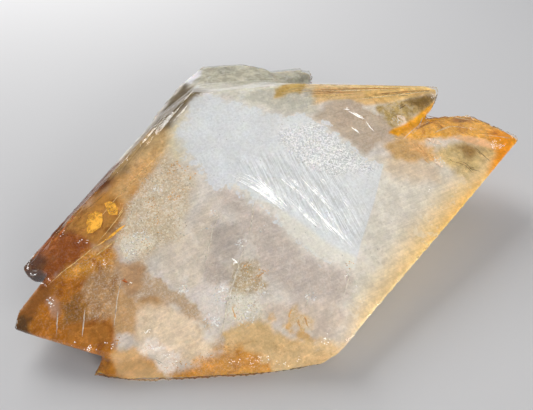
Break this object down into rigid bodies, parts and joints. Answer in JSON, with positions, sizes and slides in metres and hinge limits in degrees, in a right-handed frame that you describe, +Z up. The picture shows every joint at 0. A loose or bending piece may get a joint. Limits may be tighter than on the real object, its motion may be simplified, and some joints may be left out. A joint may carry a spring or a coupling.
{
  "type": "calcite crystal",
  "caption": "Golden doubly terminated calcite: dog-tooth crystals grown together in parallel into one flat see-through blade that lies on its side.",
  "frame": {"origin": "middle of the crystal's plan, at the level of the flat face it rests on", "axes": "+X along the shared long axis of the crystals, towards the two thick clear points; +Y across it, towards the high back edge; +Z up, out of the resting face"},
  "size_m": [0.1976, 0.1386, 0.043],
  "materials": {
    "calcite": "translucent golden calcite, frosted on its growth faces, clear at the tips, amber along the edges"
  },
  "bodies": {
    "root": {"calcite_crystal": "calcite"}
  },
  "joints": []
}
